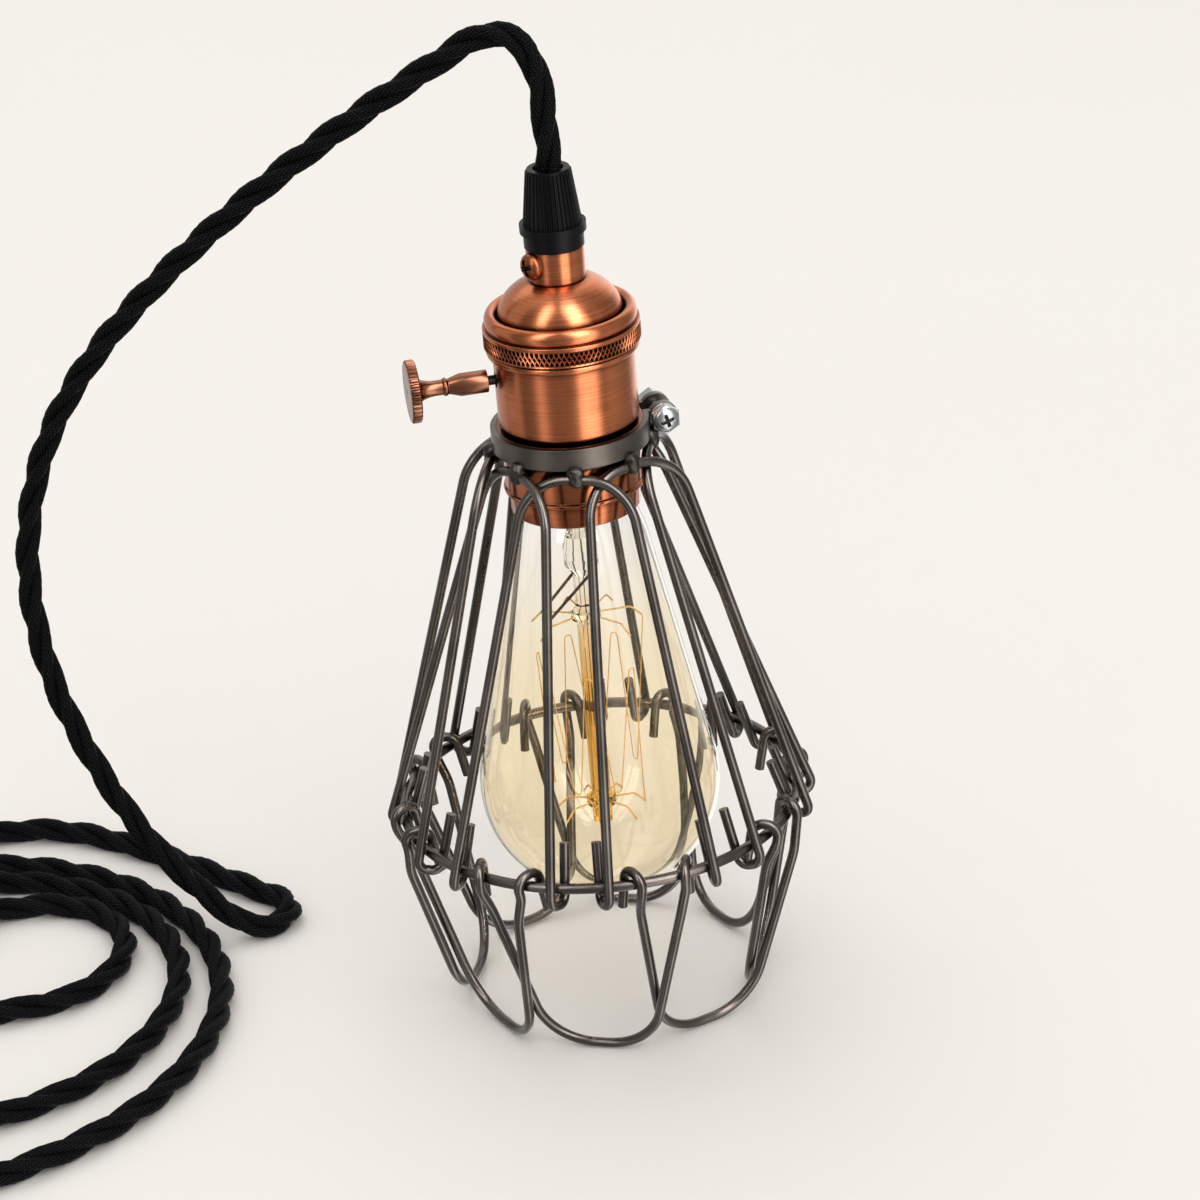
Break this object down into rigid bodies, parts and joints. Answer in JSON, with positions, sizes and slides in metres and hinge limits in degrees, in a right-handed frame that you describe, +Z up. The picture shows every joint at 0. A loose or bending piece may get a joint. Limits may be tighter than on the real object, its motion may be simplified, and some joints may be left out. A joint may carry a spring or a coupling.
{
  "type": "cage lamp",
  "caption": "Table lamp standing on a cage of interlaced bent wires, with a copper lampholder, turn switch, amber bulb, and a black twisted cord to a plug.",
  "frame": {"origin": "centre of the lamp at the table, under the bulb", "axes": "+Z up along the bulb, -X along the switch shaft towards its knob"},
  "size_m": [0.3476, 0.196, 0.2704],
  "materials": {
    "copper": "brushed antique copper",
    "dark_copper": "darkened copper",
    "grip_plastic": "matte black",
    "zinc_steel": "zinc plated",
    "band_steel": "plain steel",
    "cage_steel": "dark gunmetal",
    "liner": "pressed paper liner",
    "insulator": "moulded insulator",
    "brass": "plain brass",
    "amber_glass": "clear to amber",
    "clear_glass": "clear",
    "lamp_wire": "fine wire",
    "braid": "black braided cloth",
    "plug_plastic": "gloss black"
  },
  "bodies": {
    "lamp": {"cord_grip": "grip_plastic", "grip_nipple": "zinc_steel", "nipple_nut": "zinc_steel", "cap_neck": "copper", "set_screw": "dark_copper", "socket_cap": "copper", "collar_ring": "copper", "socket_shell": "copper", "insulating_sleeve": "liner", "lower_shell": "copper", "rim_ring": "copper", "lampholder_core": "insulator", "screw_shell": "brass", "centre_contact": "brass", "terminal_screws": "brass", "clamp_band": "band_steel", "clamp_bolt": "zinc_steel", "clamp_washer": "zinc_steel", "clamp_nut": "zinc_steel", "band_clips": "band_steel", "upper_wire_1": "cage_steel", "upper_wire_2": "cage_steel", "upper_wire_3": "cage_steel", "upper_wire_4": "cage_steel", "upper_wire_5": "cage_steel", "upper_wire_6": "cage_steel", "upper_wire_7": "cage_steel", "upper_wire_8": "cage_steel", "cage_ring": "cage_steel", "cord_arch": "braid", "cord_coil": "braid", "plug_body": "plug_plastic", "plug_pins": "brass"},
    "switch_knob": {"switch_shaft": "zinc_steel", "knob": "copper"},
    "bulb": {"bulb_glass": "amber_glass", "bulb_cap": "brass", "bulb_insulator": "insulator", "bulb_contact": "zinc_steel", "bulb_stem": "clear_glass", "upper_hooks": "lamp_wire", "lower_hooks": "lamp_wire", "filament": "lamp_wire", "lead_wires": "lamp_wire"},
    "petal_1": {"lower_wire_1": "cage_steel"},
    "petal_2": {"lower_wire_2": "cage_steel"},
    "petal_3": {"lower_wire_3": "cage_steel"},
    "petal_4": {"lower_wire_4": "cage_steel"},
    "petal_5": {"lower_wire_5": "cage_steel"},
    "petal_6": {"lower_wire_6": "cage_steel"},
    "petal_7": {"lower_wire_7": "cage_steel"},
    "petal_8": {"lower_wire_8": "cage_steel"}
  },
  "joints": [
    {"name": "switch_turn", "type": "hinge", "parent": "lamp", "child": "switch_knob", "pos_m": [-0.03, 0, 0.178], "axis": [-1, 0, 0], "continuous": true},
    {"name": "bulb_out", "type": "slide", "parent": "lamp", "child": "bulb", "axis": [0, 0, -1], "range_m": [0, 0.026]},
    {"name": "petal_swing_1", "type": "hinge", "parent": "lamp", "child": "petal_1", "pos_m": [0.04025, 0.02122, 0.0562], "axis": [0.4664, -0.8846, 0], "range_deg": [0, 90]},
    {"name": "petal_swing_2", "type": "hinge", "parent": "lamp", "child": "petal_2", "pos_m": [0.01345, 0.04347, 0.0562], "axis": [0.9553, -0.2957, 0], "range_deg": [0, 90]},
    {"name": "petal_swing_3", "type": "hinge", "parent": "lamp", "child": "petal_3", "pos_m": [-0.02122, 0.04025, 0.0562], "axis": [0.8846, 0.4664, 0], "range_deg": [0, 90]},
    {"name": "petal_swing_4", "type": "hinge", "parent": "lamp", "child": "petal_4", "pos_m": [-0.04347, 0.01345, 0.0562], "axis": [0.2957, 0.9553, 0], "range_deg": [0, 90]},
    {"name": "petal_swing_5", "type": "hinge", "parent": "lamp", "child": "petal_5", "pos_m": [-0.04025, -0.02122, 0.0562], "axis": [-0.4664, 0.8846, 0], "range_deg": [0, 90]},
    {"name": "petal_swing_6", "type": "hinge", "parent": "lamp", "child": "petal_6", "pos_m": [-0.01345, -0.04347, 0.0562], "axis": [-0.9553, 0.2957, 0], "range_deg": [0, 90]},
    {"name": "petal_swing_7", "type": "hinge", "parent": "lamp", "child": "petal_7", "pos_m": [0.02122, -0.04025, 0.0562], "axis": [-0.8846, -0.4664, 0], "range_deg": [0, 90]},
    {"name": "petal_swing_8", "type": "hinge", "parent": "lamp", "child": "petal_8", "pos_m": [0.04347, -0.01345, 0.0562], "axis": [-0.2957, -0.9553, 0], "range_deg": [0, 90]}
  ],
  "couplings": [
    {"joint": "petal_swing_2", "follows": "petal_swing_1", "ratio": 1},
    {"joint": "petal_swing_3", "follows": "petal_swing_1", "ratio": 1},
    {"joint": "petal_swing_4", "follows": "petal_swing_1", "ratio": 1},
    {"joint": "petal_swing_5", "follows": "petal_swing_1", "ratio": 1},
    {"joint": "petal_swing_6", "follows": "petal_swing_1", "ratio": 1},
    {"joint": "petal_swing_7", "follows": "petal_swing_1", "ratio": 1},
    {"joint": "petal_swing_8", "follows": "petal_swing_1", "ratio": 1}
  ]
}
